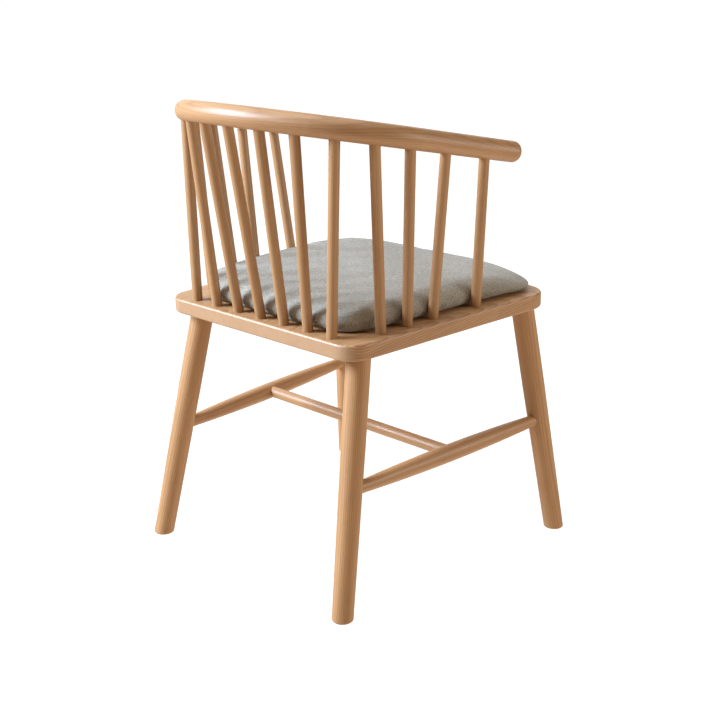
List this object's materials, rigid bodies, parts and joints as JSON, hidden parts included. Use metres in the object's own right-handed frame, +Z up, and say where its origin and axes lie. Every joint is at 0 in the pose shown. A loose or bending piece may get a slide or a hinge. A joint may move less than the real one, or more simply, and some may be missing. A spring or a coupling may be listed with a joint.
{
  "type": "wooden armchair",
  "caption": "Wooden armchair with a bent bow rail for back and arms, round spindles, splayed turned legs, an H stretcher and a loose fabric seat cushion.",
  "frame": {"origin": "on the floor under the middle of the chair, at the bottom centre of its bounding box", "axes": "+Z up along the height; the front faces -Y; the sitter's left is +X, and the YZ plane is the mirror plane"},
  "size_m": [0.5478, 0.5396, 0.7561],
  "materials": {
    "board_wood": "satin",
    "rail_wood": "satin",
    "spindle_wood": "satin",
    "leg_wood": "satin",
    "cushion_fabric": "woven",
    "foam": "matte"
  },
  "bodies": {
    "chair": {"seat_board": "board_wood", "bow_rail": "rail_wood", "spindle_back_1": "spindle_wood", "spindle_back_2": "spindle_wood", "spindle_back_3": "spindle_wood", "spindle_back_4": "spindle_wood", "spindle_back_5": "spindle_wood", "spindle_back_6": "spindle_wood", "spindle_back_7": "spindle_wood", "spindle_left_1": "spindle_wood", "spindle_left_2": "spindle_wood", "spindle_left_3": "spindle_wood", "spindle_left_4": "spindle_wood", "spindle_right_1": "spindle_wood", "spindle_right_2": "spindle_wood", "spindle_right_3": "spindle_wood", "spindle_right_4": "spindle_wood", "leg_front_left": "leg_wood", "leg_front_right": "leg_wood", "leg_back_left": "leg_wood", "leg_back_right": "leg_wood", "stretcher_left": "leg_wood", "stretcher_right": "leg_wood", "stretcher_cross": "leg_wood"},
    "cushion": {"cushion_cover": "cushion_fabric", "cushion_foam": "foam"}
  },
  "joints": [
    {"name": "cushion_lift", "type": "slide", "parent": "chair", "child": "cushion", "axis": [0, 0, 1], "range_m": [0, 0.2]}
  ]
}
